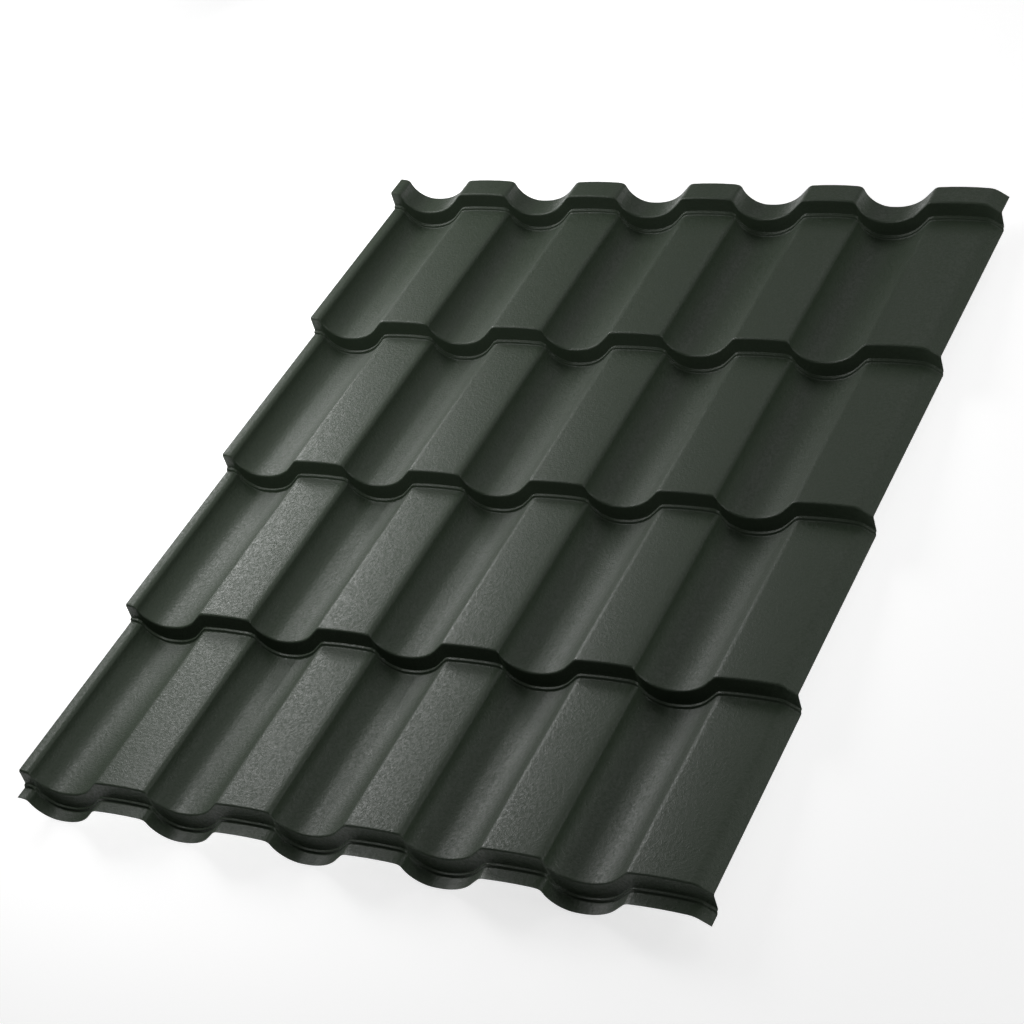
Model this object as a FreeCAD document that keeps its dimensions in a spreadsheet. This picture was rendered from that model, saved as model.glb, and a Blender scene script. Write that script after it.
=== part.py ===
import FreeCAD, Part
import math
import os
import Sketcher

# A roll formed and stamped steel roofing sheet that looks like courses of tiles.
# X runs across the sheet, Y up the roof and Z out of it. The waves run along Y, and a step is
# pressed across them at the lower edge of each course. The sheet is one piece of coated steel:
# a block with the face side's shape, less the same block set in by the thickness, cut to size.

Vector = FreeCAD.Vector
doc = FreeCAD.newDocument("TileEffectRoofingSheet")

# Driving dimensions, in millimetres and degrees
driving_sizes = [
    ("thickness", 0.5),
    # waves across the sheet, measured from the crown of the crest
    ("wave_pitch", 230),
    ("wave_count", 5),
    ("wave_depth", 47),
    ("crest_width", 93),
    ("crest_radius", 540),
    ("left_shoulder_radius", 3),
    ("right_shoulder_radius", 5),
    ("wall_lean", 10),
    ("wall_flat", 5),
    ("floor_width", 6),
    ("flank_flat", 28),
    # side laps: what is left of the crest before the first wave, and the lip after the last crest
    ("left_lap", 14),
    ("lip_radius", 30),
    ("lip_slope", 40),
    ("lip_width", 31),
    # courses along the sheet
    ("course_length", 350),
    ("step_count", 5),
    ("step_height", 32),
    ("riser_run", 3.3),
    ("nose_radius", 3),
    ("foot_radius", 3),
    ("top_strip", 42),
    ("bottom_strip", 24),
    # what is pressed past the cut edges and then sheared off
    ("shear_allowance", 20),
    ("block_depth", 80),
]
sheet = doc.addObject("Spreadsheet::Sheet", "Sheet")
for row, (alias, value) in enumerate(driving_sizes, start=1):
    sheet.set(f"A{row}", alias)
    sheet.set(f"B{row}", str(value))
    sheet.setAlias(f"B{row}", alias)
doc.recompute()
size = {alias: float(sheet.get(alias)) for alias, value in driving_sizes}
waves = int(size["wave_count"])
steps = int(size["step_count"])

body = doc.addObject("PartDesign::Body", "TileEffectSheet")
body.Label = "tile_effect_sheet"

START, END, CENTRE = 1, 2, 3
ORIGIN = (-1, 1)
VERTICAL_AXIS = -2
UP = math.pi / 2


def place(centre, radius, angle):
    return centre + Vector(radius * math.cos(angle), radius * math.sin(angle))


def origin_plane(role):
    return next(item for item in body.Origin.OriginFeatures if item.Role == role)


class Chain:
    """Lines and arcs that follow each other in one sketch, with their sizes bound to the sheet."""

    def __init__(self, name, plane):
        self.sketch = body.newObject("Sketcher::SketchObject", name)
        self.sketch.AttachmentSupport = [(origin_plane(plane), "")]
        self.sketch.MapMode = "FlatFace"
        self.geometry = []
        self.ends = []
        self.constraints = []
        self.bindings = []

    def line(self, start, end):
        self.geometry.append(Part.LineSegment(start, end))
        self.ends.append((START, END))
        return len(self.geometry) - 1

    def arc(self, centre, radius, first, last):
        """Runs from one angle to the other; the sketch stores each arc anticlockwise."""
        circle = Part.Circle(centre, Vector(0, 0, 1), radius)
        self.geometry.append(Part.ArcOfCircle(circle, min(first, last), max(first, last)))
        self.ends.append((START, END) if last > first else (END, START))
        return len(self.geometry) - 1

    def rule(self, kind, *arguments):
        self.constraints.append(Sketcher.Constraint(kind, *arguments))

    def measure(self, expression, kind, *arguments):
        """A dimension that follows the sheet. Its last argument is its value now."""
        self.bindings.append((len(self.constraints), expression))
        self.rule(kind, *arguments)

    def join(self, kind, *indices):
        for one, other in zip(indices, indices[1:]):
            self.rule(kind, one, self.ends[one][1], other, self.ends[other][0])

    def finish(self):
        self.sketch.addGeometry(self.geometry, False)
        self.sketch.addConstraint(self.constraints)
        for index, expression in self.bindings:
            self.sketch.setExpression(f"Constraints[{index}]", expression)
        doc.recompute()
        return self.sketch


# Steps along the sheet: the path that the wave section follows down the roof

nose = size["nose_radius"]
foot = size["foot_radius"]
centre_drop = size["step_height"] - nose - foot
centre_run = nose + foot + size["riser_run"]
across_riser = math.pi + math.atan2(centre_drop, centre_run)
across_riser -= math.acos((nose + foot) / math.hypot(centre_drop, centre_run))
tread_run = size["course_length"] - centre_run
tread_slope = math.atan2(centre_drop, tread_run)
tread_slope += math.asin((nose + foot) / math.hypot(centre_drop, tread_run))
above_tread = UP - tread_slope


def step_path():
    chain = Chain("StepPath", "YZ_Plane")
    path_start = size["top_strip"] + 2 * size["shear_allowance"]
    path_end = size["bottom_strip"] + 2 * size["shear_allowance"]

    def nose_centre(step):
        return Vector(-step * size["course_length"], -nose)

    def foot_centre(step):
        return nose_centre(step) - Vector(centre_run, centre_drop)

    top = place(nose_centre(0), nose, above_tread)
    start = Vector(path_start, top.y - (path_start - top.x) * math.tan(tread_slope))
    treads = [chain.line(start, top)]
    chain.measure("Sheet.top_strip + 2 * Sheet.shear_allowance", "DistanceX", *ORIGIN, 0, START, path_start)
    noses = []
    for step in range(steps):
        riser_top = place(nose_centre(step), nose, across_riser)
        riser_foot = place(foot_centre(step), -foot, across_riser)
        low = place(foot_centre(step), -foot, above_tread)
        high = place(nose_centre(step + 1), nose, above_tread)
        if step == steps - 1:
            run = path_end - (foot_centre(step).x - low.x)
            high = low + Vector(-run, run * math.tan(tread_slope))
        nose_arc = chain.arc(nose_centre(step), nose, above_tread, across_riser)
        riser = chain.line(riser_top, riser_foot)
        foot_arc = chain.arc(foot_centre(step), foot, across_riser - math.pi, above_tread - math.pi)
        tread = chain.line(low, high)
        chain.join("Tangent", treads[-1], nose_arc, riser, foot_arc, tread)
        chain.measure("Sheet.nose_radius", "Radius", nose_arc, nose)
        chain.measure("Sheet.foot_radius", "Radius", foot_arc, foot)
        centres = (foot_arc, CENTRE, nose_arc, CENTRE)
        chain.measure(
            "Sheet.step_height - Sheet.nose_radius - Sheet.foot_radius", "DistanceY", *centres, centre_drop
        )
        chain.measure(
            "Sheet.nose_radius + Sheet.foot_radius + Sheet.riser_run", "DistanceX", *centres, centre_run
        )
        if noses:
            centres = (nose_arc, CENTRE, noses[-1], CENTRE)
            chain.rule("Horizontal", *centres)
            chain.measure("Sheet.course_length", "DistanceX", *centres, size["course_length"])
        else:
            chain.rule("PointOnObject", nose_arc, CENTRE, VERTICAL_AXIS)
            chain.measure("Sheet.nose_radius", "DistanceY", nose_arc, CENTRE, *ORIGIN, nose)
        noses.append(nose_arc)
        treads.append(tread)
    chain.measure(
        "Sheet.bottom_strip + 2 * Sheet.shear_allowance",
        "DistanceX", treads[-1], END, foot_arc, CENTRE, path_end,
    )
    chain.rule("Parallel", treads[0], treads[1])
    chain.rule("Parallel", treads[-1], treads[-2])
    sketch = chain.finish()
    drop = sketch.addConstraint(Sketcher.Constraint("DistanceY", treads[0], START, *ORIGIN, -start.y))
    sketch.setDriving(drop, False)
    sketch.renameConstraint(drop, "start_drop")
    return sketch


# Waves across the sheet: the section of the block under one side of it

crest_half_angle = math.asin(size["crest_width"] / 2 / size["crest_radius"])
wall_angle = math.radians(90 - size["wall_lean"])
lip_angle = math.radians(size["lip_slope"])
left_edge = size["crest_width"] - size["left_lap"]
right_edge = waves * size["wave_pitch"] + size["crest_width"] + size["lip_width"]
LEFT_EDGE = "Sheet.crest_width - Sheet.left_lap"
RIGHT_EDGE = "Sheet.wave_count * Sheet.wave_pitch + Sheet.crest_width + Sheet.lip_width"
LOW_EDGE = (
    "(Sheet.step_count - 1) * Sheet.course_length + Sheet.nose_radius + Sheet.foot_radius"
    " + Sheet.riser_run + Sheet.bottom_strip"
)


def wave_section(name, inset, inset_text, reach, reach_text):
    """inset sets the waves in from the face side, and reach is how far the block passes the cut edges."""
    chain = Chain(name, "XZ_Plane")
    radius = size["crest_radius"]

    def crest_centre(wave):
        return Vector(wave * size["wave_pitch"] + size["crest_width"] / 2, -radius)

    def crest(wave, from_angle=UP + crest_half_angle):
        index = chain.arc(crest_centre(wave), radius - inset, from_angle, UP - crest_half_angle)
        chain.measure(f"Sheet.crest_radius - {inset_text}", "Radius", index, radius - inset)
        chain.measure("Sheet.crest_radius", "DistanceY", index, CENTRE, *ORIGIN, radius)
        chain.measure(
            f"{wave} * Sheet.wave_pitch + Sheet.crest_width / 2",
            "DistanceX", *ORIGIN, index, CENTRE, crest_centre(wave).x,
        )
        return index

    def shoulder(crest_arc, wave, alias, slope, hand):
        """The rounded edge of a crest; hand is 1 on its right and -1 on its left."""
        inward = radius - size[alias]
        centre = place(crest_centre(wave), inward, UP - hand * crest_half_angle)
        angles = (UP - hand * crest_half_angle, UP - hand * slope)[::hand]
        index = chain.arc(centre, size[alias] - inset, *angles)
        chain.measure(f"Sheet.{alias} - {inset_text}", "Radius", index, size[alias] - inset)
        centres = ((crest_arc, CENTRE), (index, CENTRE))[::hand]
        chain.measure(
            f"(Sheet.crest_radius - Sheet.{alias}) * Sheet.crest_width / (2 * Sheet.crest_radius)",
            "DistanceX", *centres[0], *centres[1], inward * math.sin(crest_half_angle),
        )
        return index, centre

    def hollow_and_flank(wave, shoulder_arc, shoulder_centre):
        """From a crest's right shoulder down to the floor and up the flank to the next crest."""
        wall_top = place(shoulder_centre, size["right_shoulder_radius"] - inset, UP - wall_angle)
        wall_foot = place(wall_top, size["wall_flat"], -wall_angle)
        on_face = place(wall_foot, inset, UP - wall_angle)
        hollow_radius = (size["wave_depth"] + on_face.y) / (1 - math.cos(wall_angle))
        hollow_centre = place(on_face, hollow_radius, UP - wall_angle)
        floor_start = place(hollow_centre, hollow_radius + inset, -UP)
        floor_end = floor_start + Vector(size["floor_width"], 0)
        wall = chain.line(wall_top, wall_foot)
        hollow = chain.arc(hollow_centre, hollow_radius + inset, -UP - wall_angle, -UP)
        floor = chain.line(floor_start, floor_end)
        chain.measure("Sheet.wall_flat", "Distance", wall, size["wall_flat"])
        chain.measure("(Sheet.wall_lean - 90) * 1 deg", "Angle", wall, -wall_angle)
        chain.measure("Sheet.floor_width", "Distance", floor, size["floor_width"])
        chain.rule("Horizontal", floor)
        chain.measure(
            f"Sheet.wave_depth + {inset_text}", "DistanceY", floor, START, *ORIGIN, size["wave_depth"] + inset
        )

        edge_radius = size["left_shoulder_radius"]
        edge_centre = place(crest_centre(wave + 1), radius - edge_radius, UP + crest_half_angle)
        width = edge_centre.x - floor_end.x
        height = edge_centre.y + size["wave_depth"] + edge_radius
        flank_angle = 2 * math.atan(height / (width + size["flank_flat"]))
        rise_width = width - size["flank_flat"] * math.cos(flank_angle)
        rise_radius = rise_width / math.sin(flank_angle) - edge_radius
        rise_centre = Vector(floor_end.x, rise_radius - size["wave_depth"])
        flank_start = place(rise_centre, rise_radius + inset, flank_angle - UP)
        rise = chain.arc(rise_centre, rise_radius + inset, -UP, flank_angle - UP)
        flank = chain.line(flank_start, place(flank_start, size["flank_flat"], flank_angle))
        chain.measure("Sheet.flank_flat", "Distance", flank, size["flank_flat"])
        chain.join("Tangent", shoulder_arc, wall, hollow, floor, rise, flank)
        return flank, flank_angle

    far_left = left_edge - reach
    far_right = right_edge + reach
    base = -(size["wave_depth"] + size["block_depth"] + reach)
    first_angle = UP - math.asin((far_left - crest_centre(0).x) / (radius - inset))
    first_crest = crest(0, first_angle)
    crest_arc = first_crest
    for wave in range(waves):
        shoulder_arc, centre = shoulder(crest_arc, wave, "right_shoulder_radius", wall_angle, 1)
        chain.join("Tangent", crest_arc, shoulder_arc)
        flank, flank_angle = hollow_and_flank(wave, shoulder_arc, centre)
        crest_arc = crest(wave + 1)
        edge_arc, centre = shoulder(crest_arc, wave + 1, "left_shoulder_radius", flank_angle, -1)
        chain.join("Tangent", flank, edge_arc, crest_arc)

    lip_arc, centre = shoulder(crest_arc, waves, "lip_radius", lip_angle, 1)
    lip_start = place(centre, size["lip_radius"] - inset, UP - lip_angle)
    lip_end = Vector(far_right, lip_start.y - (far_right - lip_start.x) * math.tan(lip_angle))
    lip = chain.line(lip_start, lip_end)
    chain.join("Tangent", crest_arc, lip_arc, lip)
    chain.measure("-Sheet.lip_slope * 1 deg", "Angle", lip, -lip_angle)
    chain.measure(f"{RIGHT_EDGE} + {reach_text}", "DistanceX", *ORIGIN, lip, END, far_right)

    right_side = chain.line(lip_end, Vector(far_right, base))
    base_line = chain.line(Vector(far_right, base), Vector(far_left, base))
    left_side = chain.line(Vector(far_left, base), place(crest_centre(0), radius - inset, first_angle))
    chain.join("Coincident", lip, right_side, base_line, left_side, first_crest)
    chain.rule("Vertical", right_side)
    chain.rule("Horizontal", base_line)
    chain.rule("Vertical", left_side)
    chain.measure(
        f"Sheet.wave_depth + Sheet.block_depth + {reach_text}", "DistanceY", base_line, START, *ORIGIN, -base
    )
    chain.measure(f"{LEFT_EDGE} - {reach_text}", "DistanceX", *ORIGIN, left_side, START, far_left)

    sketch = chain.finish()
    sketch.setExpression("AttachmentOffset.Base.y", "-StepPath.Constraints.start_drop")
    sketch.setExpression(
        "AttachmentOffset.Base.z", f"-(Sheet.top_strip + 2 * Sheet.shear_allowance + {inset_text})"
    )
    return sketch


def cut_outline():
    """A frame in plan around the sheet's outline. What lies in the frame is sheared off."""
    chain = Chain("CutOutline", "XY_Plane")
    margin = 3 * size["shear_allowance"]
    margin_text = "3 * Sheet.shear_allowance"
    top = size["top_strip"]
    low = (steps - 1) * size["course_length"] + centre_run + size["bottom_strip"]
    for extra, extra_text in ((0, "0"), (margin, margin_text)):
        left, right = left_edge - extra, right_edge + extra
        corners = [
            Vector(left, -low - extra), Vector(right, -low - extra),
            Vector(right, top + extra), Vector(left, top + extra),
        ]
        sides = [chain.line(corners[i], corners[(i + 1) % 4]) for i in range(4)]
        chain.join("Coincident", *sides, sides[0])
        for side, kind in zip(sides, ("Horizontal", "Vertical", "Horizontal", "Vertical")):
            chain.rule(kind, side)
        chain.measure(f"{LEFT_EDGE} - {extra_text}", "DistanceX", *ORIGIN, sides[0], START, left)
        chain.measure(f"{RIGHT_EDGE} + {extra_text}", "DistanceX", *ORIGIN, sides[0], END, right)
        chain.measure(f"{LOW_EDGE} + {extra_text}", "DistanceY", sides[0], START, *ORIGIN, low + extra)
        chain.measure(f"Sheet.top_strip + {extra_text}", "DistanceY", *ORIGIN, sides[2], START, top + extra)
    return chain.finish()


def check(item):
    doc.recompute()
    if "Invalid" in item.State or "Error" in item.State:
        raise RuntimeError(f"{item.Label}: {item.getStatusString()}")
    return item


def carried(kind, name, section, path):
    """Carries a section down the steps without turning it."""
    pipe = body.newObject(kind, name)
    pipe.Profile = section
    pipe.Spine = (path, [])
    pipe.Mode = "Fixed"
    pipe.Refine = False
    return check(pipe)


allowance = size["shear_allowance"]
path = check(step_path())
face_section = check(wave_section("FaceSection", 0, "0", allowance, "Sheet.shear_allowance"))
back_section = check(
    wave_section(
        "BackSection", size["thickness"], "Sheet.thickness", 2 * allowance, "2 * Sheet.shear_allowance"
    )
)
carried("PartDesign::AdditivePipe", "FaceBlock", face_section, path)
carried("PartDesign::SubtractivePipe", "BackBlock", back_section, path)
shearing = body.newObject("PartDesign::Pocket", "Shearing")
shearing.Profile = check(cut_outline())
shearing.Type = "ThroughAll"
shearing.Midplane = True
shearing.Refine = False
check(shearing)

# The origin is the middle of the sheet's outline, on the floor under the hollows
body.setExpression("Placement.Base.x", f"-({LEFT_EDGE} + {RIGHT_EDGE}) / 2")
body.setExpression("Placement.Base.y", f"({LOW_EDGE} - Sheet.top_strip) / 2")
body.setExpression("Placement.Base.z", "Sheet.wave_depth + Sheet.step_height + Sheet.thickness")
check(body)

for item in doc.Objects:
    check(item)
shape = body.Shape
if shape.isNull() or not shape.isValid() or len(shape.Solids) != 1:
    raise RuntimeError(f"{body.Label}: its shape is null, invalid or not one solid")
os.makedirs("parts", exist_ok=True)
shape.exportStep(os.path.join("parts", f"{body.Label}.step"))
print(body.Label, "volume", round(shape.Volume), "mm3, origin moved to", body.Placement.Base)
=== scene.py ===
import math
import bpy
from mathutils import Matrix, Vector


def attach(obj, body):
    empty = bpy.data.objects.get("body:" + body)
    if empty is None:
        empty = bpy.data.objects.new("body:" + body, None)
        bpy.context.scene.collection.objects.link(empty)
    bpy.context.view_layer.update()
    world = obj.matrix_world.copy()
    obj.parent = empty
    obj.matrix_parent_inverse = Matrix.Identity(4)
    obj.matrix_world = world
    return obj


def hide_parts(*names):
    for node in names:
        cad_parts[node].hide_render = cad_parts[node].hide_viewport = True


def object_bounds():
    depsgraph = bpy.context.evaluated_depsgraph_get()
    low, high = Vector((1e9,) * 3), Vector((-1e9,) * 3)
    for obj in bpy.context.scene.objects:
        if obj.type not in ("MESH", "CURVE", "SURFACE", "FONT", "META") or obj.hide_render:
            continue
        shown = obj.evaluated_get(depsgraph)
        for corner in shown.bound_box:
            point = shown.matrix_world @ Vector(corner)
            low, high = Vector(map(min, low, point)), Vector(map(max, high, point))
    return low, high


# A tile effect roofing sheet. Its waves are drawn as one line across the sheet, then pressed down the
# roof course by course, given the steel's thickness and a matt textured coat. Metres and degrees.

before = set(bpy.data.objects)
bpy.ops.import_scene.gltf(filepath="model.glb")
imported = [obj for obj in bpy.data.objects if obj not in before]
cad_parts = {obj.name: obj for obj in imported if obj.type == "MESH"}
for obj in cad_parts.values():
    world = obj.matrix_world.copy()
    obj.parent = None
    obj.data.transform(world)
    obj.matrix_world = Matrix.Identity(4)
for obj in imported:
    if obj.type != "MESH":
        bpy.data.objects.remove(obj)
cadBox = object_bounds()
bpy.ops.object.select_all(action="DESELECT")
print("frame loaded")

# Camera at the photograph's angle; its roll is the sheet's slant in the picture
viewpoint = {
    "place": (1.942, -2.336, 2.6595),
    "turn": 40.53,
    "down": 41.0,
    "roll": -24.17,
    "lens": 86.82,              # millimetres
    "sensor": 36,
}


def setCamera(v):
    data = bpy.data.cameras.new("photoCamera")
    data.lens = v["lens"]
    data.sensor_width = v["sensor"]
    camera = bpy.data.objects.new("photoCamera", data)
    bpy.context.scene.collection.objects.link(camera)
    turn = Matrix.Rotation(math.radians(v["turn"]), 3, "Z")
    tilt = Matrix.Rotation(math.radians(90 - v["down"]), 3, "X")
    roll = Matrix.Rotation(math.radians(v["roll"]), 3, "Z")
    camera.rotation_euler = (turn @ tilt @ roll).to_euler()
    camera.location = v["place"]
    bpy.context.scene.camera = camera


# Waves across the sheet, as their face side is drawn from the left lap to the lip
waves = {
    "count": 5,
    "pitch": 0.230,
    "depth": 0.047,
    "crestWidth": 0.093,
    "crestLeft": 0.041,         # from the crown to the soft left shoulder
    "crestRight": 0.035,        # from the crown to where it starts to fall to the right
    "easeRadius": 0.060,
    "easeSlope": 13,
    "crestRadius": 0.540,
    "rightShoulder": 0.009,     # the crest's edge over the steep wall
    "leftShoulder": 0.018,      # the crest's edge over the flank
    "wallLean": 10,
    "wallFlat": 0.001,
    "floorFlat": 0.006,
    "flankFlat": 0.023,
    "leftLap": 0.014,
    "lipRadius": 0.030,
    "lipSlope": 40,
    "lipWidth": 0.031,
    "flatEdge": 0.0012,         # a short stretch at each end keeps the flat's shading flat
}
# Faces along each part of a wave
waveFaces = {
    "lap": 2,
    "crest": 4,
    "ease": 4,
    "rightShoulder": 8,
    "hollow": 17,
    "rise": 12,
    "flank": 2,
    "leftShoulder": 9,
    "lipBend": 6,
    "lip": 2,
}
pen = {"at": Vector(), "heading": 0.0}


def penLine(length, steps=1):
    step = length / steps
    move = Vector((step * math.cos(pen["heading"]), 0, step * math.sin(pen["heading"])))
    for i in range(steps):
        bpy.ops.mesh.extrude_region_move(TRANSFORM_OT_translate={"value": move})
    pen["at"] = pen["at"] + move * steps


def penArc(radius, turn, steps):
    # turn is positive to the left, and the line's last point is spun about the arc's centre
    side = math.copysign(1, turn)
    left = Vector((-math.sin(pen["heading"]), 0, math.cos(pen["heading"])))
    centre = pen["at"] + left * side * radius
    angle = math.radians(abs(turn))
    bpy.ops.mesh.spin(steps=steps, angle=angle, center=centre, axis=(0, side, 0))
    pen["at"] = centre + Matrix.Rotation(angle, 3, Vector((0, -side, 0))) @ (pen["at"] - centre)
    pen["heading"] += math.radians(turn)


def penFlat(length, edge, steps):
    penLine(edge)
    penLine(length - 2 * edge, steps)
    penLine(edge)


def drawWaves(w, faces, start, right):
    rightAngle = math.degrees(math.asin(w["crestRight"] / w["crestRadius"]))
    leftAngle = math.degrees(math.asin(w["crestLeft"] / w["crestRadius"]))
    lipAngle = math.degrees(math.asin(w["crestWidth"] / 2 / w["crestRadius"]))
    lapAngle = math.degrees(math.asin((w["crestWidth"] / 2 - w["leftLap"]) / w["crestRadius"]))
    wallAngle = 90 - w["wallLean"]
    crown = start.z
    pen["at"] = start - Vector((0, 0, w["crestRadius"] * (1 - math.cos(math.radians(lapAngle)))))
    pen["heading"] = -math.radians(lapAngle)
    bpy.ops.mesh.primitive_plane_add(size=w["leftLap"], location=pen["at"])
    bpy.ops.object.mode_set(mode="EDIT")
    bpy.ops.mesh.select_mode(type="VERT")
    bpy.ops.mesh.merge(type="CENTER")
    penArc(w["crestRadius"], lapAngle - rightAngle, faces["lap"])
    for wave in range(w["count"]):
        penArc(w["easeRadius"], rightAngle - w["easeSlope"], faces["ease"])
        penArc(w["rightShoulder"], w["easeSlope"] - wallAngle, faces["rightShoulder"])
        penLine(w["wallFlat"])
        hollowDepth = w["depth"] + pen["at"].z - crown
        hollowRadius = hollowDepth / (1 - math.cos(math.radians(wallAngle)))
        penArc(hollowRadius, wallAngle, faces["hollow"])
        penLine(w["floorFlat"])
        # the flank's angle and the radius below it follow from where the next crest starts
        crestMiddle = right - w["lipWidth"] - w["crestWidth"] / 2 - (w["count"] - 1 - wave) * w["pitch"]
        inward = w["crestRadius"] - w["leftShoulder"]
        width = crestMiddle - inward * math.sin(math.radians(leftAngle)) - pen["at"].x
        height = inward * (math.cos(math.radians(leftAngle)) - 1) + w["depth"]
        flank = 2 * math.atan(height / (width + w["flankFlat"]))
        riseRadius = (width - w["flankFlat"] * math.cos(flank)) / math.sin(flank) - w["leftShoulder"]
        penArc(riseRadius, math.degrees(flank), faces["rise"])
        penFlat(w["flankFlat"], w["flatEdge"], faces["flank"])
        penArc(w["leftShoulder"], leftAngle - math.degrees(flank), faces["leftShoulder"])
        crestEnd = rightAngle if wave < w["count"] - 1 else lipAngle
        penArc(w["crestRadius"], -leftAngle - crestEnd, faces["crest"])
    penArc(w["lipRadius"], lipAngle - w["lipSlope"], faces["lipBend"])
    penLine((right - pen["at"].x) / math.cos(pen["heading"]), faces["lip"])


# Courses down the roof. A slope is the path's rise towards the bottom edge, in degrees
courses = {
    "count": 5,
    "length": 0.350,
    "drop": 0.032,
    "topStrip": 0.042,
    "noseRadius": 0.0035,
    "riserSlope": -83,
    "ledgeRadius": 0.0012,      # the small ledge pressed into the riser's foot
    "ledgeSlope": -10,
    "ledgeWidth": 0.0022,
    "ledgeDrop": 0.0022,
    "dropSlope": -72,
    "footRadius": 0.002,
    "flatEdge": 0.002,
}
# Faces along each part of a course
courseFaces = {
    "nose": 9,
    "ledge": 4,
    "foot": 5,
    "tread": 2,
}


def lineMove(length, slope):
    return Vector((0, -length * math.cos(slope), length * math.sin(slope)))


def arcMove(radius, slope, newSlope):
    side = math.copysign(radius, newSlope - slope)
    out = side * (math.sin(newSlope) - math.sin(slope))
    return Vector((0, -out, side * (math.cos(slope) - math.cos(newSlope))))


def planCourse(c):
    # the riser is as long, and the tread as steep, as the course's drop and length need
    riser, ledge, drop = (math.radians(c[name]) for name in ("riserSlope", "ledgeSlope", "dropSlope"))
    noseToFoot = Vector((0, math.sin(riser), math.cos(riser))) * c["noseRadius"]
    noseToFoot += arcMove(c["ledgeRadius"], riser, ledge) + lineMove(c["ledgeWidth"], ledge)
    noseToFoot += arcMove(c["ledgeRadius"], ledge, drop) + lineMove(c["ledgeDrop"], drop)
    noseToFoot += Vector((0, math.sin(drop), math.cos(drop))) * c["footRadius"]
    radii = c["noseRadius"] + c["footRadius"]
    centreDrop = c["drop"] - radii
    riserLength = (centreDrop + noseToFoot.z) / -math.sin(riser)
    noseToFoot += lineMove(riserLength, riser)
    run = c["length"] + noseToFoot.y
    tread = math.atan2(centreDrop, run) + math.asin(radii / math.hypot(centreDrop, run))
    return {
        "riser": riser,
        "riserLength": riserLength,
        "ledge": ledge,
        "drop": drop,
        "footRun": -noseToFoot.y,
        "tread": tread,
        "treadLength": math.sqrt(run ** 2 + centreDrop ** 2 - radii ** 2),
    }


def press(move):
    # the whole line of waves is carried on without being turned
    bpy.ops.mesh.extrude_region_move(TRANSFORM_OT_translate={"value": move})


def pressFlat(length, slope, edge, steps=1):
    press(lineMove(edge, slope))
    for i in range(steps):
        press(lineMove((length - 2 * edge) / steps, slope))
    press(lineMove(edge, slope))


def pressArc(radius, slope, newSlope, steps):
    turn = (newSlope - slope) / steps
    for i in range(steps):
        press(arcMove(radius, slope + turn * i, slope + turn * (i + 1)))


def pressCourses(c, faces, plan, length):
    tread, edge = plan["tread"], c["flatEdge"]
    bpy.ops.mesh.select_mode(type="EDGE")
    bpy.ops.mesh.select_all(action="SELECT")
    topRun = c["topStrip"] - c["noseRadius"] * math.sin(tread)
    pressFlat(topRun / math.cos(tread), tread, edge)
    for step in range(c["count"]):
        pressArc(c["noseRadius"], tread, plan["riser"], faces["nose"])
        pressFlat(plan["riserLength"], plan["riser"], edge)
        pressArc(c["ledgeRadius"], plan["riser"], plan["ledge"], faces["ledge"])
        press(lineMove(c["ledgeWidth"], plan["ledge"]))
        pressArc(c["ledgeRadius"], plan["ledge"], plan["drop"], faces["ledge"])
        press(lineMove(c["ledgeDrop"], plan["drop"]))
        pressArc(c["footRadius"], plan["drop"], tread, faces["foot"])
        if step < c["count"] - 1:
            pressFlat(plan["treadLength"], tread, edge, faces["tread"])
    lastFoot = plan["footRun"] + c["footRadius"] * math.sin(tread)
    reached = c["topStrip"] + (c["count"] - 1) * c["length"] + lastFoot
    pressFlat((length - reached) / math.cos(tread), tread, edge)


steel = {
    "thickness": 0.0005,
    "lapOverhang": 0.07,        # in thicknesses, how far the slanted back stands out at the left lap
    "bottomOverhang": 0.1,      # and at the bottom edge
    "spare": 0.00001,           # keeps the right edge and the underside inside the CAD box
    "smoothUnder": 35,
}


def shapeSheet(s):
    # drawn in the CAD box, with room for the back's overhang
    low, high = cadBox
    low = low + Vector((s["lapOverhang"], s["bottomOverhang"], 0)) * s["thickness"]
    plan = planCourse(courses)
    tread = plan["tread"]
    firstNose = courses["topStrip"] * math.tan(tread)
    firstNose -= courses["noseRadius"] * (1 / math.cos(tread) - 1)
    start = Vector((low.x, high.y, high.z - firstNose + s["spare"]))
    drawWaves(waves, waveFaces, start, high.x - s["spare"])
    print("waves drawn, pen at", [round(value, 5) for value in pen["at"]])
    pressCourses(courses, courseFaces, plan, high.y - low.y)
    bpy.ops.mesh.select_all(action="SELECT")
    bpy.ops.mesh.normals_make_consistent(inside=False)
    bpy.ops.object.mode_set(mode="OBJECT")
    bpy.ops.object.transform_apply(location=True, rotation=False, scale=False)
    sheet = bpy.context.object
    sheet.name = "formedSheet"
    print("courses pressed:", len(sheet.data.polygons), "faces")
    return sheet


def thickenSheet(sheet, s):
    # face coat outside, back coat inside, bare steel on the cut edges
    if sheet.data.polygons[0].normal.z < 0:
        bpy.ops.object.mode_set(mode="EDIT")
        bpy.ops.mesh.select_all(action="SELECT")
        bpy.ops.mesh.flip_normals()
        bpy.ops.object.mode_set(mode="OBJECT")
    plate = sheet.modifiers.new("plate", "SOLIDIFY")
    plate.thickness = s["thickness"]
    plate.offset = -1
    plate.use_even_offset = True
    plate.material_offset = 1
    plate.material_offset_rim = 2
    bpy.ops.object.modifier_apply(modifier="plate")
    bpy.ops.object.shade_smooth_by_angle(angle=math.radians(s["smoothUnder"]))


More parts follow.
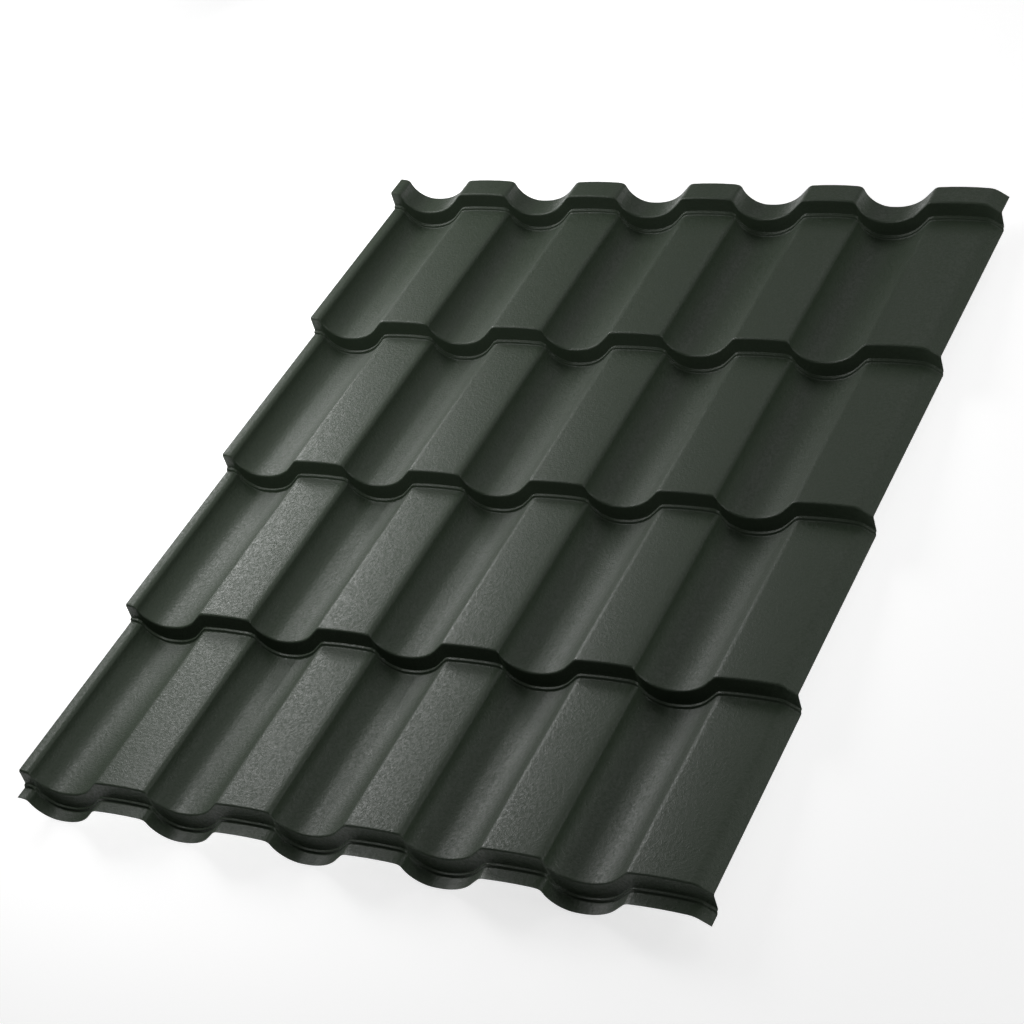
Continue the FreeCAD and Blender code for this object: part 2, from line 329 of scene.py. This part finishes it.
# Finishes
faceCoat = {
    "colour": (0.0292, 0.0430, 0.0262, 1),
    "roughness": 0.50,
    "roughnessSpread": 0.12,
    "specular": 0.39,
    "grainScale": 200,
    "grainDetail": 2,
    "fineScale": 480,
    "fineDetail": 1,
    "fineShare": 0.6,
    "dullest": 0.6,             # the grain's height at which the coat is dullest
    "glossiest": 1.0,
    "bumpDepth": 0.0010,
    "bumpStrength": 0.6,
}
backCoat = {
    "colour": (0.25, 0.26, 0.25, 1),
    "roughness": 0.6,
    "metallic": 0,
}
cutSteel = {
    "colour": (0.55, 0.56, 0.57, 1),
    "roughness": 0.35,
    "metallic": 1,
}


def addNode(owner, kind, **values):
    node = owner.node_tree.nodes.new(kind)
    for name, value in values.items():
        setattr(node, name, value)
    return node


def makeFaceCoat(f):
    material = bpy.data.materials.new("matt green coat")
    material.use_nodes = True
    link = material.node_tree.links.new
    shader = material.node_tree.nodes["Principled BSDF"]
    shader.inputs["Base Color"].default_value = f["colour"]
    shader.inputs["Specular IOR Level"].default_value = f["specular"]
    place = addNode(material, "ShaderNodeTexCoord")
    grain = addNode(material, "ShaderNodeTexNoise")
    grain.inputs["Scale"].default_value = f["grainScale"]
    grain.inputs["Detail"].default_value = f["grainDetail"]
    fine = addNode(material, "ShaderNodeTexNoise")
    fine.inputs["Scale"].default_value = f["fineScale"]
    fine.inputs["Detail"].default_value = f["fineDetail"]
    link(place.outputs["Object"], grain.inputs["Vector"])
    link(place.outputs["Object"], fine.inputs["Vector"])
    both = addNode(material, "ShaderNodeMath", operation="MULTIPLY_ADD")
    both.inputs[1].default_value = f["fineShare"]
    link(fine.outputs["Fac"], both.inputs[0])
    link(grain.outputs["Fac"], both.inputs[2])
    # the grain's hollows are duller than its tops
    dull = addNode(material, "ShaderNodeMapRange")
    dull.inputs["From Min"].default_value = f["dullest"]
    dull.inputs["From Max"].default_value = f["glossiest"]
    dull.inputs["To Min"].default_value = f["roughness"] + f["roughnessSpread"]
    dull.inputs["To Max"].default_value = f["roughness"] - f["roughnessSpread"]
    link(both.outputs[0], dull.inputs["Value"])
    link(dull.outputs["Result"], shader.inputs["Roughness"])
    bump = addNode(material, "ShaderNodeBump")
    bump.inputs["Strength"].default_value = f["bumpStrength"]
    bump.inputs["Distance"].default_value = f["bumpDepth"]
    link(both.outputs[0], bump.inputs["Height"])
    link(bump.outputs["Normal"], shader.inputs["Normal"])
    return material


def makePlainCoat(name, coat):
    material = bpy.data.materials.new(name)
    material.use_nodes = True
    shader = material.node_tree.nodes["Principled BSDF"]
    shader.inputs["Base Color"].default_value = coat["colour"]
    shader.inputs["Roughness"].default_value = coat["roughness"]
    shader.inputs["Metallic"].default_value = coat["metallic"]
    return material


# Studio: small lamps at the left give the sheen, and broad ones at the back and right open the shadows
studio = {
    "sky": 0.04,
    "mirroredSky": 0.12,
    "floorSize": 40,
    "floorColour": (0.86, 0.86, 0.86, 1),
    "floorRoughness": 0.9,
    "floorGlow": 0.55,
}
# degrees from +Y towards +X and over the floor, then metres and watts
lamps = {
    "highSoftbox": {"turn": -54, "height": 40, "distance": 1.9, "size": (0.8, 0.8), "power": 8.8},
    "sheenFill": {
        "turn": -62, "height": 22, "distance": 1.8, "size": (0.5, 0.5), "power": 7.5, "shadow": False,
    },
    "lowSheenFill": {
        "turn": -60, "height": 5, "distance": 2.6, "size": (0.5, 0.3), "power": 5, "shadow": False,
    },
    "nearFill": {
        "turn": -110, "height": 52, "distance": 1.27, "size": (0.4, 0.4), "power": 5.5, "shadow": False,
    },
    "backFill": {"turn": 0, "height": 40, "distance": 4, "size": (2.5, 2.5), "power": 15},
    "rightFill": {"turn": 45, "height": 40, "distance": 4, "size": (2.5, 2.5), "power": 17},
    "lowRightFill": {"turn": 90, "height": 18, "distance": 4, "size": (3.0, 0.9), "power": 42},
}


def addLamp(name, lamp):
    turn, height = math.radians(lamp["turn"]), math.radians(lamp["height"])
    flat = Vector((math.sin(turn), math.cos(turn), 0)) * math.cos(height)
    direction = flat + Vector((0, 0, math.sin(height)))
    bpy.ops.object.light_add(type="AREA", location=direction * lamp["distance"])
    light = bpy.context.object
    light.name = name
    light.rotation_euler = direction.to_track_quat("Z", "Y").to_euler()
    light.visible_camera = False
    light.data.shape = "RECTANGLE"
    light.data.size, light.data.size_y = lamp["size"]
    light.data.energy = lamp["power"]
    light.data.use_shadow = lamp.get("shadow", True)


def setWorld(s):
    world = bpy.data.worlds.new("studio")
    bpy.context.scene.world = world
    world.use_nodes = True
    link = world.node_tree.links.new
    # white where the camera sees it, dim in the coat's gloss and as a light
    background = world.node_tree.nodes["Background"]
    background.inputs["Color"].default_value = (1, 1, 1, 1)
    skyPath = addNode(world, "ShaderNodeLightPath")
    mirrored = addNode(world, "ShaderNodeMath", operation="MULTIPLY")
    mirrored.inputs[1].default_value = s["mirroredSky"]
    link(skyPath.outputs["Is Glossy Ray"], mirrored.inputs[0])
    skySeen = addNode(world, "ShaderNodeMath", operation="MAXIMUM")
    link(skyPath.outputs["Is Camera Ray"], skySeen.inputs[0])
    link(mirrored.outputs[0], skySeen.inputs[1])
    skyStrength = addNode(world, "ShaderNodeMath", operation="MAXIMUM")
    skyStrength.inputs[1].default_value = s["sky"]
    link(skySeen.outputs[0], skyStrength.inputs[0])
    link(skyStrength.outputs[0], background.inputs["Strength"])


def layFloor(s):
    bpy.ops.mesh.primitive_plane_add(size=s["floorSize"], location=(0, 0, 0))
    floor = bpy.context.object
    floor.name = "floor"
    material = bpy.data.materials.new("pale floor")
    material.use_nodes = True
    link = material.node_tree.links.new
    shader = material.node_tree.nodes["Principled BSDF"]
    shader.inputs["Base Color"].default_value = s["floorColour"]
    shader.inputs["Roughness"].default_value = s["floorRoughness"]
    shader.inputs["Specular IOR Level"].default_value = 0
    # the glow whitens the floor for the camera and in the gloss, and lights nothing
    glow = addNode(material, "ShaderNodeEmission")
    glow.inputs["Color"].default_value = (1, 1, 1, 1)
    path = addNode(material, "ShaderNodeLightPath")
    seen = addNode(material, "ShaderNodeMath", operation="MAXIMUM")
    link(path.outputs["Is Camera Ray"], seen.inputs[0])
    link(path.outputs["Is Glossy Ray"], seen.inputs[1])
    strength = addNode(material, "ShaderNodeMath", operation="MULTIPLY")
    strength.inputs[1].default_value = s["floorGlow"]
    link(seen.outputs[0], strength.inputs[0])
    link(strength.outputs[0], glow.inputs["Strength"])
    total = addNode(material, "ShaderNodeAddShader")
    link(shader.outputs[0], total.inputs[0])
    link(glow.outputs[0], total.inputs[1])
    link(total.outputs[0], material.node_tree.nodes["Material Output"].inputs["Surface"])
    floor.data.materials.append(material)


setCamera(viewpoint)
sheet = shapeSheet(steel)
sheet.data.materials.append(makeFaceCoat(faceCoat))
sheet.data.materials.append(makePlainCoat("grey back coat", backCoat))
sheet.data.materials.append(makePlainCoat("cut steel", cutSteel))
thickenSheet(sheet, steel)
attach(sheet, "root")
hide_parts("tile_effect_sheet")
print("sheet finished:", len(sheet.data.polygons), "faces")
setWorld(studio)
for name, lamp in lamps.items():
    addLamp(name, lamp)
layFloor(studio)
print("studio lit:", len(lamps), "lamps")
bpy.context.scene.view_settings.view_transform = "Standard"
